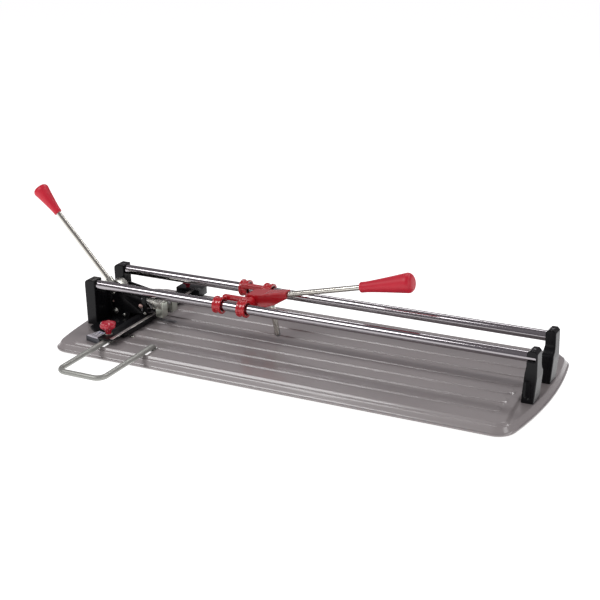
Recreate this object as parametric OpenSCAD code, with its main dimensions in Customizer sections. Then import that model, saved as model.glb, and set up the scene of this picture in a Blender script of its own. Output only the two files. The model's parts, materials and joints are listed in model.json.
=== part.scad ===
// Manual tile cutter: a carriage with a scoring lever runs on two guide rails above a pressed base,
// and a separate breaker with its own lever stands at the left end.
// X runs along the rails, Y from front to back, Z up. The origin is on the bench, under the middle of
// the rails.

/* [Base tray] */
// Distance from the middle to the right end of the tray
tray_right = 557; // [550:1:570]
// Distance from the middle to the left end of the tray
tray_left = 552; // [550:1:565]
// Overall depth of the tray, front to back
tray_depth = 410; // [408:2:430]
// Radius of the bulging ends
tray_end_r = 912; // [880:1:1000]
// Thickness of the sheet
sheet = 1.6; // [1.2:0.1:2]
// Distance between neighbouring ribs
rib_pitch = 44; // [43:1:45]

/* [Guide rails] */
// Diameter of a guide rail
rail_d = 22; // [20:1:22]
// Distance between the rail axes
rail_gap = 117; // [116:1:118]
// Height of the rail axes above the bench
rail_z = 114; // [114:0.5:116]

/* [Posts and supports] */
// Width of a head post along the rails
post_w = 27; // [24:1:27]
// Depth of a head post and of a tail cap
post_d = 30; // [28:1:30]

/* [Carriage] */
// Left face of the carriage at rest
carriage_x = -186; // [-190:1:-180]
// Outer diameter of a barrel
barrel_d = 38; // [37:1:40]
// Length of a barrel
barrel_l = 20; // [18:1:20]

/* [Levers] */
// Diameter of both lever rods
rod_d = 12; // [10:1:12]
// Slope of the scoring lever rod
score_angle = 13.4; // [12:0.2:15]
// Diameter of the scoring wheel
wheel_d = 16; // [14:1:16]
// Slope of the breaker lever, from the right
breaker_angle = 131.5; // [129:0.5:132]

/* [Fence and support arm] */
// Rear end of the fence
fence_rear = 205; // [200:1:205]
// Front of the support arm's cross bar
arm_front = -344; // [-350:1:-320]

/* [Hidden] */
$fn = 48;
eps = 0.02;
run_fit = 0.05;
// Radius of the lever, pivot and fence pins, and of the small spring studs
pin_r = 5;
stud_r = 1.5;

margin_z = 19;
plateau_z = 24;
rib_h = 2.5;
rib_top = plateau_z + rib_h;
rim_z = 2;
rail_y = rail_gap / 2;
post_x = -526;
tail_x = 524.7;
tail_w = 22.3;

// Colours of the finishes
grey_paint = "#857f7c";
black_paint = "#1b1b1c";
chrome = "#c9c9cd";
zinc = "#b9bba9";
red_cast = "#c81f2d";
red_grip = "#d22b3f";
dark_red = "#8f1c26";
rubber_black = "#222222";
steel = "#8f9094";

// Points of the tray outline, moved inwards by inset. Each end is an arc that meets the long sides
// in round corners.
function tray_half(reach, inset, side) =
  let(r = tray_end_r - inset,
      cx = side * (reach - tray_end_r),
      hy = tray_depth / 2 - inset,
      rc = 34 - inset / 2,
      kx = sqrt(pow(r - rc, 2) - pow(hy - rc, 2)),
      phi = atan2(hy - rc, kx))
  concat(
    [for (i = [0 : 5]) let(a = 90 + (phi - 90) * i / 5)
      [cx + side * (kx + rc * cos(a)), hy - rc + rc * sin(a)]],
    [for (i = [1 : 11]) let(a = phi - 2 * phi * i / 12) [cx + side * r * cos(a), r * sin(a)]],
    [for (i = [0 : 5]) let(a = -phi - (90 - phi) * i / 5)
      [cx + side * (kx + rc * cos(a)), -(hy - rc) + rc * sin(a)]]
  );

function reversed(list) = [for (i = [len(list) - 1 : -1 : 0]) list[i]];

module tray_outline(inset) {
  polygon(concat(tray_half(tray_right, inset, 1), reversed(tray_half(tray_left, inset, -1))));
}

module tray_slab(inset, z, h) {
  translate([0, 0, z]) linear_extrude(h) tray_outline(inset);
}

// A cylinder along Y, centred on x, z, from y0 to y1
module across(x, z, r, y0, y1) {
  translate([x, y0, z]) rotate([-90, 0, 0]) cylinder(r = r, h = y1 - y0);
}

// Children drawn along +Z are turned to point at an angle above +X, starting at x, z
module aimed(x, z, angle) {
  translate([x, 0, z]) rotate([0, 90 - angle, 0]) children();
}

// A profile in X and Z is given its width in Y, from y0 to y1
module plate(y0, y1) {
  translate([0, y1, 0]) rotate([90, 0, 0]) linear_extrude(y1 - y0) children();
}

// The raised middle of the deck: straight long sides, a hollow right edge and round corners
plateau_half = 192;
plateau_left = -490;
plateau_right = 512.5;
plateau_hollow = 0.00045;
module plateau(inset, z, h) {
  half = plateau_half - inset;
  left = plateau_left + inset;
  corner = 12;
  right = plateau_right + 3.5 - inset;
  translate([0, 0, z]) linear_extrude(h) polygon(concat(
    [for (s = [-1, 1], i = [0 : 4]) let(a = s < 0 ? 180 + 22.5 * i : 270 + 22.5 * i)
      [s < 0 ? left + corner + corner * cos(a) : right + corner * cos(a), -half + corner + corner * sin(a)]],
    [for (i = [-8 : 8]) let(y = i * (half - corner - 6) / 8)
      [plateau_right - inset + plateau_hollow * y * y, y]],
    [for (s = [1, -1], i = [0 : 4]) let(a = s < 0 ? 90 + 22.5 * i : 22.5 * i)
      [s < 0 ? left + corner + corner * cos(a) : right + corner * cos(a), half - corner + corner * sin(a)]]));
}

// One raised rib with round ends; thinner makes the space under the sheet
rib_left = -476;
rib_right = 497;
rib_half = 14;
module rib(y, thinner) {
  for (step = [0, 1]) {
    half = rib_half - 3 * step - thinner;
    translate([0, 0, plateau_z - 0.1 - thinner + step * rib_h / 2]) linear_extrude(rib_h / 2 + 0.1) {
      translate([rib_left + rib_half, y - half]) square([rib_right - rib_left - 2 * rib_half, 2 * half]);
      for (x = [rib_left + rib_half, rib_right - rib_half]) translate([x, y]) circle(half);
    }
  }
}

post_screw = [[post_x + post_w / 2, rail_y], [tail_x + 5, rail_y]];
fence_c = [-403, 0];
arm_x = [-408, -296];
arm_slot = 13.5;
slot_front = -178;
slot_rear = -146.2;

module base_tray() {
  color(grey_paint) difference() {
    union() {
      hull() {
        tray_slab(1.5, 6, 0.5);
        tray_slab(11, margin_z - 0.5, 0.5);
      }
      tray_slab(0, rim_z, 4.5);
      plateau(0, margin_z - 1, 3.5);
      plateau(2, margin_z, plateau_z - margin_z);
      for (i = [-3 : 3]) rib(i * rib_pitch, 0);
    }
    hull() {
      tray_slab(3.5, rim_z - 1, 4);
      tray_slab(13, margin_z - sheet - 0.5, 0.5);
    }
    plateau(5.6, margin_z - 4, plateau_z - margin_z + 4 - sheet);
    for (i = [-3 : 3]) rib(i * rib_pitch, sheet);
    for (h = post_screw, s = [-1, 1]) translate([h[0], s * h[1], 10]) cylinder(r = 3.3, h = 20);
    for (x = arm_x) {
      translate([x - arm_slot / 2, slot_front, 10]) cube([arm_slot, slot_rear - slot_front, 20]);
      for (y = [slot_front, slot_rear]) translate([x, y, 10]) cylinder(d = arm_slot, h = 20);
    }
    translate([fence_c[0], 0, 10]) cylinder(r = pin_r + eps, h = 20);
  }
}

spine_x0 = -470;
spine_l = 950;
spine_half = 20;
pad_h = 3.2;
module centre_spine() {
  top = rib_top - sheet;
  color(steel) difference() {
    translate([spine_x0, 0, 0]) rotate([90, 0, 90]) linear_extrude(spine_l) {
      translate([-spine_half, pad_h]) square([2 * spine_half, 2]);
      for (s = [-1, 1]) translate([s * (spine_half - 1) - 1, pad_h + 2])
        square([2, plateau_z - sheet - pad_h - 2]);
    }
    translate([fence_c[0], 0, 0]) cylinder(r = 9, h = top);
  }
}

module spine_pad() {
  color(rubber_black) translate([-480, -18, 0]) cube([960, 36, pad_h]);
}

module rubber_feet() {
  color(rubber_black) for (x = [-465, 0, 465], s = [-1, 1]) translate([x, s * 160, 0]) {
    cylinder(r1 = 12, r2 = 14, h = 8);
    translate([0, 0, 8]) cylinder(r = 11, h = plateau_z - sheet - 8);
  }
}

module breaking_anvil() {
  color(steel) plate(-4, 4)
    polygon([[-377, rib_top], [-330, rib_top], [-333, rib_top + 1.5], [-374, rib_top + 1.5]]);
}

module deck_screw() {
  color(zinc) translate([-377, -110, plateau_z]) {
    cylinder(r = 5, h = 2);
    translate([0, 0, 2]) cylinder(r1 = 5, r2 = 3.6, h = 1);
  }
}

rail_x0 = post_x + 12;
rail_x1 = tail_x + tail_w - 3;

module guide_rail(y) {
  chamfer = 1;
  color(chrome) translate([rail_x0, y, rail_z]) rotate([0, 90, 0]) {
    cylinder(r1 = rail_d / 2 - chamfer, r2 = rail_d / 2, h = chamfer, $fn = 64);
    translate([0, 0, chamfer]) cylinder(d = rail_d, h = rail_x1 - rail_x0 - 2 * chamfer, $fn = 64);
    translate([0, 0, rail_x1 - rail_x0 - chamfer])
      cylinder(r1 = rail_d / 2, r2 = rail_d / 2 - chamfer, h = chamfer, $fn = 64);
  }
}

module front_guide_rail() { guide_rail(-rail_y); }
module rear_guide_rail() { guide_rail(rail_y); }

// Tail support: an upright whose inner side flares out in an arch towards its foot
module tail_support() {
  half = post_d / 2;
  foot_in = 40;
  top_z = rail_z + 18;
  color(black_paint) difference() {
    intersection() {
      // Side view, along Y and Z: the inner side is an arch
      translate([tail_x - 20, 0, 0]) rotate([90, 0, 90]) linear_extrude(60) difference() {
        translate([-half, margin_z]) square([foot_in, top_z - margin_z]);
        translate([half + 24, rail_z - 12]) circle(r = 25);
        translate([half - 1, rail_z - 12]) square([60, 60]);
      }
      // Front view: the foot is wider than the cap and leans left
      plate(-half, foot_in) polygon([
        [tail_x - 8.9, margin_z], [tail_x + tail_w - 5, margin_z], [tail_x + tail_w, rail_z - 40],
        [tail_x + tail_w, rail_z + 12], [tail_x + tail_w - 5, top_z], [tail_x + 6, top_z],
        [tail_x, rail_z + 12], [tail_x, rail_z - 14], [tail_x - 3, rail_z - 30], [tail_x - 6, rail_z - 60]]);
    }
    translate([tail_x - 1, 0, rail_z]) rotate([0, 90, 0])
      cylinder(r = rail_d / 2 + eps, h = tail_w - 1.9, $fn = 64);
    translate([tail_x - 1, -half - 1, rail_z - 5]) cube([tail_w - 3, 8, 9]);
    // Oval pocket in the front face
    translate([tail_x + 4, -half + 3, 0]) rotate([90, 0, 0]) linear_extrude(4) {
      translate([0, margin_z + 16]) circle(6.5);
      translate([0, margin_z + 42]) circle(6.5);
      translate([-6.5, margin_z + 16]) square([13, 26]);
    }
    translate([post_screw[1][0], 0, 0]) cylinder(r = 2.6, h = 45);
    translate([tail_x + tail_w / 2, 0, rail_z + rail_d / 2 - 1]) cylinder(r = 3 + eps, h = 12);
  }
}

module front_tail_support() { translate([0, -rail_y, 0]) tail_support(); }
module rear_tail_support() { translate([0, rail_y, 0]) mirror([0, 1, 0]) tail_support(); }

// Head post with a rounded outer shoulder and a blind seat for the rail
module head_post() {
  half = post_d / 2;
  top_z = rail_z + 13;
  shoulder = 9;
  color(black_paint) difference() {
    plate(-half, half) {
      translate([post_x, margin_z]) square([post_w, top_z - shoulder - margin_z]);
      translate([post_x + shoulder, top_z - shoulder - 1]) square([post_w - shoulder, shoulder + 1]);
      translate([post_x + shoulder, top_z - shoulder]) circle(shoulder);
    }
    translate([rail_x0 - eps, 0, rail_z]) rotate([0, 90, 0]) cylinder(r = rail_d / 2 + eps, h = 40, $fn = 64);
    translate([post_screw[0][0], 0, 0]) cylinder(r = 2.6, h = 45);
    translate([post_x + post_w - 8, 0, rail_z + rail_d / 2 - 1]) cylinder(r = 3 + eps, h = 12);
  }
}

module front_head_post() { translate([0, -rail_y, 0]) head_post(); }
module rear_head_post() { translate([0, rail_y, 0]) mirror([0, 1, 0]) head_post(); }

module mounting_screws() {
  head_top = margin_z - sheet;
  color(steel) for (h = post_screw, s = [-1, 1]) translate([h[0], s * h[1], 0]) {
    translate([0, 0, head_top - 5]) cylinder(r = 5.5, h = 5);
    translate([0, 0, head_top]) cylinder(r = 2.5, h = 24);
  }
}

module rail_set_screws() {
  places = [[post_x + post_w - 8, rail_z + 12.9], [tail_x + tail_w / 2, rail_z + 17.9]];
  color(steel) for (p = places, s = [-1, 1])
    translate([p[0], s * rail_y, rail_z + rail_d / 2 + 0.05]) difference() {
      cylinder(r = 3, h = p[1] - rail_z - rail_d / 2 - 0.5);
      translate([0, 0, p[1] - rail_z - rail_d / 2 - 3]) cylinder(r = 1.5, h = 4, $fn = 6);
    }
}

// Breaker housing: a cross plate between the head posts carries two side plates
wall_in = 20;
wall_t = 4;
wall_out = wall_in + wall_t;
head_plate_x = post_x + post_w - 7;
module head_plate() {
  width = rail_gap - post_d;
  gate = 28;
  color(black_paint) difference() {
    translate([head_plate_x, -width / 2, margin_z]) cube([6, width, 80]);
    translate([head_plate_x - 1, -gate / 2, margin_z + 51]) cube([8, gate, 40]);
  }
}

// Base plate of the breaker: lies on the deck left of the fence, cut away over the ribs
base_t = 4;
module breaker_base() {
  color(black_paint) difference() {
    translate([0, 0, plateau_z]) linear_extrude(base_t) intersection() {
      translate(fence_c) circle(sector_r[0] - 0.3, $fn = 96);
      translate([head_plate_x + 9, -150]) square([fence_x0 - 3 - head_plate_x - 9, 190]);
    }
    for (i = [-3 : 1]) rib(i * rib_pitch, 0);
  }
}

lever_x = -484;
lever_z = 88;
press_travel = 12.5;
guide_x = [-486, -408];
guide_z = 63.5;
wall_bolts = [[-480, 41, 7.5], [-456, 34.5, 4], [-398.5, 46, 3.5]];
spring_top = [-405, 82];
spring_low = [-384, 61];

module side_wall() {
  color(black_paint) difference() {
    plate(-wall_out, -wall_in) polygon([[head_plate_x + 6, 28.5], [-445, 28.5], [-440, 42], [-394, 42],
      [-394, 86], [-396, 87], [-465, 99], [head_plate_x + 6, 101]]);
    across(lever_x, lever_z, pin_r + eps, -60, 0);
    for (x = guide_x) {
      for (z = [guide_z, guide_z - press_travel]) across(x, z, 3.4, -60, 0);
      translate([x - 3.4, -60, guide_z - press_travel]) cube([6.8, 60, press_travel]);
    }
    for (b = wall_bolts) across(b[0], b[1], 2 + eps, -60, 0);
    across(spring_top[0], spring_top[1], stud_r + eps, -60, 0);
  }
}

module front_side_wall() { side_wall(); }
module rear_side_wall() { mirror([0, 1, 0]) side_wall(); }

// Cross bolts that hold the two walls apart, with washers and domed heads outside
module housing_bolts() {
  color(zinc) {
    for (b = wall_bolts) {
      for (s = [0, 1]) mirror([0, s, 0]) {
        across(b[0], b[1], 2, -wall_out, -wall_in);
        across(b[0], b[1], b[2], -wall_out - 1.2, -wall_out);
        across(b[0], b[1], b[2] * 0.68, -wall_out - 3, -wall_out - 1.2);
        across(b[0], b[1], b[2] * 0.5, -wall_out - 3.8, -wall_out - 3);
      }
    }
    for (b = [wall_bolts[0], wall_bolts[1]]) across(b[0], b[1], 3, -wall_in, wall_in);
  }
}

module lever_pin() {
  color(zinc) {
    across(lever_x, lever_z, pin_r, -wall_out, wall_out);
    for (s = [0, 1]) mirror([0, s, 0]) across(lever_x, lever_z, 6.5, -wall_out - 2, -wall_out);
  }
}

module spring_studs() {
  color(steel) for (s = [0, 1]) mirror([0, s, 0]) {
    across(spring_top[0], spring_top[1], stud_r, -wall_out, -wall_in + 5);
    across(spring_top[0], spring_top[1], 2.2, -wall_in + 5, -wall_in + 5.6);
  }
}

// Breaker lever. Its hub is a cam whose lower face drops at a steady rate as the lever swings over,
// and pushes the press beam down.
cam_low = 14.7;
cam_rate = 11.46;
cam_reach = 60;
hub_w = 12;
socket = [-508, 102];
breaker_rod_len = 200;
// A point of the cam, at an angle from straight down towards +X
function cam_point(a) = let(h = cam_low + cam_rate * a * PI / 180)
  [h * sin(a) + cam_rate * cos(a), -h * cos(a) + cam_rate * sin(a)];

module lever_hub() {
  color(zinc) difference() {
    union() {
      plate(-hub_w, hub_w) translate([lever_x, lever_z]) {
        intersection() {
          circle(22);
          translate([-30, -8]) square([60, 60]);
        }
        polygon(concat([[-14, -6], [-4, -cam_low]],
          [for (i = [0 : 12]) cam_point(cam_reach * i / 12)], [[20, -4]]));
      }
      aimed(socket[0], socket[1], breaker_angle) translate([0, 0, -24]) cylinder(r = 9.5, h = 32);
    }
    across(lever_x, lever_z, pin_r + run_fit, -30, 30);
    aimed(socket[0], socket[1], breaker_angle) translate([0, 0, -13]) cylinder(r = rod_d / 2 + eps, h = 40);
  }
}

module breaker_rod() {
  color(zinc) aimed(socket[0], socket[1], breaker_angle) translate([0, 0, -12.9])
    cylinder(d = rod_d, h = breaker_rod_len + 12.9 + 45);
}

module breaker_grip() {
  aimed(socket[0], socket[1], breaker_angle) translate([0, 0, breaker_rod_len]) grip(76, 19, 37, 45.3);
}

// Press foot: a beam slides up and down between the walls, and its yoke carries two pads
beam_x0 = -497;
yoke_x0 = -366;
yoke_x1 = -348;
beam_top = 72.7;
module press_beam() {
  color(zinc) difference() {
    translate([beam_x0, -14, 57]) cube([yoke_x0 - beam_x0, 28, beam_top - 57]);
    for (x = guide_x) across(x, guide_z, 3 + eps, -20, 20);
    translate([beam_x0 - 1, -9, 50]) cube([yoke_x0 - beam_x0 - 20, 18, 17]);
    for (s = [0, 1]) mirror([0, s, 0]) across(spring_low[0], spring_low[1], stud_r + eps, -20, -10);
  }
}

module foot_yoke() {
  color(zinc) difference() {
    translate([yoke_x0, -31, 66]) cube([yoke_x1 - yoke_x0, 62, 16]);
    translate([yoke_x1 - 8, 0, 74]) rotate([0, 90, 0]) cylinder(r = 3 + eps, h = 10);
  }
}

module yoke_bolt() {
  color(steel) {
    translate([yoke_x1 - 8, 0, 74]) rotate([0, 90, 0]) cylinder(r = 3, h = 8);
    translate([yoke_x1, 0, 74]) rotate([0, 90, 0]) cylinder(r = 5.5, h = 3.5);
  }
}

module press_pads() {
  color("#aeb8a8") for (s = [0, 1]) mirror([0, s, 0]) {
    translate([-364, -31, 46]) cube([14, 21, 20]);
    translate([yoke_x1, -31, 46]) cube([3, 21, 33]);
    translate([-350, -31, 46]) cube([2, 21, 20]);
  }
}

module pad_soles() {
  color(rubber_black) for (s = [0, 1]) mirror([0, s, 0]) translate([-363, -30, 43.5]) cube([14, 19, 2.5]);
}

module guide_pins() {
  color("#c79a8c") {
    for (x = guide_x) across(x, guide_z, 3, -wall_out + 0.5, wall_out - 0.5);
    for (s = [0, 1]) mirror([0, s, 0]) {
      across(guide_x[1], guide_z, 3, -wall_out - 0.5, -wall_out + 0.5);
      across(guide_x[1], guide_z, 5.5, -wall_out - 3.2, -wall_out - 0.4);
    }
  }
}

module beam_studs() {
  color(steel) for (s = [0, 1]) mirror([0, s, 0]) {
    across(spring_low[0], spring_low[1], stud_r, -19.2, -10);
    across(spring_low[0], spring_low[1], 2.2, -19.6, -19.2);
  }
}

// Tension springs that lift the foot, drawn as their outer shape
module return_springs() {
  dx = spring_low[0] - spring_top[0];
  dz = spring_low[1] - spring_top[1];
  reach = norm([dx, dz]);
  gap = 2.6;
  color(steel) for (s = [-1, 1]) translate([spring_top[0], s * 17.2, spring_top[1]])
    rotate([0, atan2(dx, dz), 0]) translate([0, 0, gap]) cylinder(r = 2.6, h = reach - 2 * gap);
}

// Fence: swivels on its pivot under the breaker; its front end is thin, to pass over the arm and the sector
fence_x0 = -422;
fence_x1 = -384;
fence_front = -178;
fence_low = plateau_z + base_t + 0.4;
fence_top = 40.3;
thin_z = 36.7;
thin_end = -130;
knob_pos = [-412, -150];
module fence_bar() {
  color(black_paint) difference() {
    translate([fence_x0, fence_front, fence_low])
      cube([fence_x1 - fence_x0, fence_rear - fence_front, fence_top - fence_low]);
    translate([fence_x0 - 1, fence_front - 1, fence_low - 1])
      cube([60, thin_end - fence_front + 1, thin_z - fence_low + 1]);
    translate([fence_c[0], 0, 0]) cylinder(r = pin_r + run_fit, h = 60);
    translate([knob_pos[0], knob_pos[1], 0]) cylinder(r = 3.1, h = 60);
  }
}

module fence_pivot() {
  color(steel) translate([fence_c[0], 0, 0]) {
    translate([0, 0, rib_top - sheet - 5]) cylinder(r = 7.5, h = 5, $fn = 6);
    translate([0, 0, rib_top - sheet]) cylinder(r = pin_r, h = fence_top + 0.3 - rib_top + sheet);
    translate([0, 0, fence_top + 0.3]) cylinder(r = 9, h = 2.2);
  }
}

ruler_x0 = fence_x1 - 8;
module fence_ruler() {
  color("#c9c4bf") translate([ruler_x0, fence_front + 4, fence_top])
    cube([8, fence_rear - fence_front - 8, 1.2]);
}

// Angle sector: an arc about the fence pivot, under the fence's front end
sector_r = [140, 178];
sector_from = 251;
sector_arc = 14;
sector_h = 11.4;
module sector(z, h, inset) {
  translate([fence_c[0], 0, z]) rotate(sector_from + inset)
    rotate_extrude(angle = sector_arc - 2 * inset, $fn = 96)
    translate([sector_r[0] + 3 * inset, 0]) square([sector_r[1] - sector_r[0] - 6 * inset, h]);
}

// The sector's underside is cut away over the front rib
module angle_sector() {
  color("#3b3d44") difference() {
    sector(plateau_z, sector_h, 0);
    rib(-3 * rib_pitch, 0);
  }
}

module angle_scale() { color("#9a98b0") sector(plateau_z + sector_h, 0.8, 0.5); }

module fence_washer() {
  color(steel) translate([knob_pos[0], knob_pos[1], fence_top]) difference() {
    cylinder(r = 9, h = 1.5);
    translate([0, 0, -1]) cylinder(r = 3.3, h = 4);
  }
}

// Lobed clamp knob: a slim foot opens into a scalloped head. size 1 is 28 mm tall.
module lobed_knob(tone, size) {
  lobes = 6;
  color(tone) scale(size) {
    cylinder(r = 6, h = 3);
    translate([0, 0, 3]) cylinder(r1 = 6, r2 = 9, h = 6);
    translate([0, 0, 9]) cylinder(r1 = 9, r2 = 15.5, h = 7);
    translate([0, 0, 16]) {
      cylinder(r = 15.5, h = 8);
      for (i = [0 : lobes - 1]) rotate(i * 360 / lobes) translate([12.5, 0, 0]) cylinder(r = 6.5, h = 8);
      translate([0, 0, 8]) cylinder(r1 = 15.5, r2 = 11, h = 3);
      translate([0, 0, 11]) cylinder(r1 = 11, r2 = 4, h = 1);
    }
  }
}

module fence_knob() {
  translate([knob_pos[0], knob_pos[1], fence_top + 1.8]) {
    lobed_knob(red_cast, 1);
    color(red_cast) translate([0, 0, thin_z + 0.4 - fence_top - 1.8])
      cylinder(r = 3, h = fence_top + 1.6 - thin_z);
  }
}

stop_y = 156;
stop_l = 36;
stop_knob_pos = [-403, stop_y + 12];
module side_stop() {
  color(black_paint) difference() {
    union() {
      translate([fence_x1 + 0.4, stop_y, fence_low - 0.4]) cube([19, stop_l, 16]);
      translate([fence_x0 - 7, stop_y, fence_top + 1.7]) cube([fence_x1 - fence_x0 + 26.4, stop_l, 4.6]);
      translate([fence_x0 - 7, stop_y, fence_low - 0.4]) cube([6.6, stop_l, 16]);
    }
    translate([stop_knob_pos[0], stop_knob_pos[1], 0]) cylinder(r = 3.1, h = 80);
  }
}

module stop_knob() {
  bridge_top = fence_top + 6.3;
  translate([stop_knob_pos[0], stop_knob_pos[1], bridge_top + 0.3]) {
    lobed_knob(dark_red, 0.72);
    color(dark_red) translate([0, 0, fence_top + 0.4 - bridge_top - 0.3])
      cylinder(r = 3, h = bridge_top - fence_top);
  }
}

// Support arm: a bent rod whose inner ends turn down through the deck
arm_d = 12;
arm_z = plateau_z + 0.3 + arm_d / 2;
arm_end_y = -146;
arm_bend = 20;
end_bend = 8;
module support_arm() {
  leg_front = arm_front + arm_bend;
  leg = arm_end_y - end_bend - leg_front;
  low = 13;
  color(zinc) {
    for (x = arm_x) {
      translate([x, leg_front, arm_z]) rotate([-90, 0, 0]) cylinder(d = arm_d, h = leg);
      translate([x, arm_end_y - end_bend, arm_z - end_bend]) rotate([90, 0, 90])
        rotate_extrude(angle = 90) translate([end_bend, 0]) circle(d = arm_d);
      translate([x, arm_end_y, low]) cylinder(d = arm_d, h = arm_z - end_bend - low);
    }
    translate([arm_x[0] + arm_bend, arm_front, arm_z]) rotate([0, 90, 0])
      cylinder(d = arm_d, h = arm_x[1] - arm_x[0] - 2 * arm_bend);
    for (i = [0, 1]) translate([arm_x[i] + (1 - 2 * i) * arm_bend, leg_front, arm_z]) rotate(180 + 90 * i)
      rotate_extrude(angle = 90) translate([arm_bend, 0]) circle(d = arm_d);
  }
}

module arm_clips() {
  color(steel) for (x = arm_x) translate([x, arm_end_y, 18.6]) difference() {
    cylinder(r = 9.5, h = 2.4);
    translate([0, 0, -1]) cylinder(r = arm_d / 2 + eps, h = 5);
  }
}

// One runner: two flanged barrels on a rail, joined by a bar on their inner side. Drawn for the front rail.
barrel_gap = 40;
barrel_x = [carriage_x, carriage_x + barrel_l + barrel_gap];
bush_r = rail_d / 2 + 2.6;
pivot_x = barrel_x[1] + barrel_l / 2;
pivot_z = rail_z + 4;
hub_in = 22.5;
pin_y = 34;

module runner() {
  color(red_cast) difference() {
    union() {
      for (x = barrel_x) translate([x, -rail_y, rail_z]) rotate([0, 90, 0]) {
        cylinder(d = barrel_d - 4, h = barrel_l);
        for (dx = [0, barrel_l - 5.5]) translate([0, 0, dx]) cylinder(d = barrel_d, h = 5.5);
      }
      translate([carriage_x + barrel_l / 2, -rail_y + 13, rail_z + 8]) cube([barrel_l + barrel_gap, 12, 10]);
      across(pivot_x, pivot_z, 12, -rail_y + 12, -hub_in);
    }
    translate([carriage_x - 1, -rail_y, rail_z]) rotate([0, 90, 0]) cylinder(r = bush_r + eps, h = 120);
    across(pivot_x, pivot_z, pin_r + eps, -pin_y, -10);
    for (x = barrel_x) translate([x + barrel_l / 2, -rail_y, rail_z - 30]) cylinder(r = 3 + eps, h = 20);
  }
}

module front_runner() { runner(); }
module rear_runner() { mirror([0, 1, 0]) runner(); }

// Plastic bushes, set back inside the barrels
bush_inset = 3;
module runner_bushes() {
  color(rubber_black) for (s = [-1, 1], x = barrel_x)
    translate([x + bush_inset, s * rail_y, rail_z]) rotate([0, 90, 0]) difference() {
      cylinder(r = bush_r, h = barrel_l - 2 * bush_inset);
      translate([0, 0, -1]) cylinder(r = rail_d / 2 + run_fit, h = barrel_l, $fn = 64);
    }
}

// Grub screws that hold the bushes, from below
module barrel_screws() {
  screw_l = 3.4;
  color(steel) for (s = [-1, 1], x = barrel_x)
    translate([x + barrel_l / 2, s * rail_y, rail_z - bush_r - 0.1 - screw_l]) difference() {
      cylinder(r = 3, h = screw_l);
      translate([0, 0, -1]) cylinder(r = 1.5, h = 3, $fn = 6);
    }
}

module pivot_pin() {
  color(zinc) across(pivot_x, pivot_z, pin_r, -pin_y, pin_y);
}

// Scoring lever. The head narrows from the pivot hub to the socket of the rod.
head_w = 44;
socket_x = -37;
socket_z = 139.2;
shaft_top = [-81.3, 131];
shaft_end = [-66, 40];
shaft_lean = atan2(shaft_end[0] - shaft_top[0], shaft_top[1] - shaft_end[1]);
shaft_len = norm(shaft_end - shaft_top);

module lever_head() {
  color(red_cast) difference() {
    intersection() {
      plate(-head_w / 2, head_w / 2) {
        translate([pivot_x, pivot_z]) circle(13);
        polygon([[pivot_x - 26, 114], [pivot_x - 20, 107], [pivot_x + 16, 105], [-80, 109], [-64, 114.5],
          [socket_x, 131], [socket_x, 147.2], [-60, 142.5], [-91, 136], [pivot_x - 12, 132],
          [pivot_x - 26, 124]]);
      }
      translate([0, 0, 60]) linear_extrude(140) polygon(concat(
        [for (i = [0 : 8]) let(a = 90 + 180 * i / 8) [pivot_x - 1 + 26 * cos(a), head_w / 2 * sin(a)]],
        [[pivot_x + 12, -head_w / 2], [-80, -17], [-50, -12.5], [socket_x, -11],
         [socket_x, 11], [-50, 12.5], [-80, 17], [pivot_x + 12, head_w / 2]]));
    }
    across(pivot_x, pivot_z, pin_r + run_fit, -30, 30);
    aimed(socket_x, socket_z, score_angle) translate([0, 0, -18]) cylinder(r = rod_d / 2 + eps, h = 40);
    translate([shaft_top[0], 0, shaft_top[1]]) rotate([0, 180 - shaft_lean, 0])
      translate([0, 0, -eps]) cylinder(r = rod_d / 2 + eps, h = 80);
    across(shaft_mid[0], shaft_mid[1], 3 + eps, 0, 30);
  }
}

shaft_mid = shaft_top + (shaft_end - shaft_top) * 12 / shaft_len;
grip_at = 179.2;
rod_seat = 17.9;
module lever_rod() {
  color(zinc) aimed(socket_x, socket_z, score_angle) translate([0, 0, -rod_seat])
    cylinder(d = rod_d, h = rod_seat + grip_at + 21);
}

// Grip turned to its profile: a short neck, a cone that widens to the belly, and a blunt round end, with
// a blind hole for the rod
module grip(length, neck, belly, hole) {
  blunt = belly * 0.28;
  swell = length - blunt;
  color(red_grip) rotate_extrude() polygon(concat(
    [[rod_d / 2 + eps, 0], [neck / 2 - 1, 0], [neck / 2, 1.5], [neck / 2, length * 0.1]],
    [for (i = [1 : 8]) let(t = i / 8)
      [neck / 2 + (belly - neck) / 2 * pow(t, 1.15), length * 0.1 + (swell - length * 0.1) * t]],
    [for (i = [1 : 10]) let(a = 9 * i)
      [(belly / 2 - blunt) + blunt * cos(a) - (belly / 2 - blunt) * (i == 10 ? 1 : 0),
       swell + blunt * sin(a) + (i == 10 ? 0.5 : 0)]],
    [[0, hole], [rod_d / 2 + eps, hole]]));
}

module lever_grip() {
  aimed(socket_x, socket_z, score_angle) translate([0, 0, grip_at]) grip(122, 23, 43, 21.3);
}

module scoring_shaft() {
  color(zinc) difference() {
    translate([shaft_top[0], 0, shaft_top[1]]) rotate([0, 180 - shaft_lean, 0]) {
      cylinder(d = rod_d, h = shaft_len - 4);
      translate([0, 0, shaft_len - 4]) cylinder(r1 = rod_d / 2, r2 = rod_d / 2 - 1.5, h = 4);
    }
    translate([shaft_end[0] - 20, -1.6, shaft_end[1] - 20]) cube([40, 3.2, 33]);
    across(wheel_c[0], wheel_c[1], 1.5 + eps, -10, 10);
  }
}

wheel_c = [shaft_end[0] - 0.6, shaft_end[1] + 4];
module wheel_axle() {
  color(steel) across(wheel_c[0], wheel_c[1], 1.5, -5, 5);
}

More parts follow.
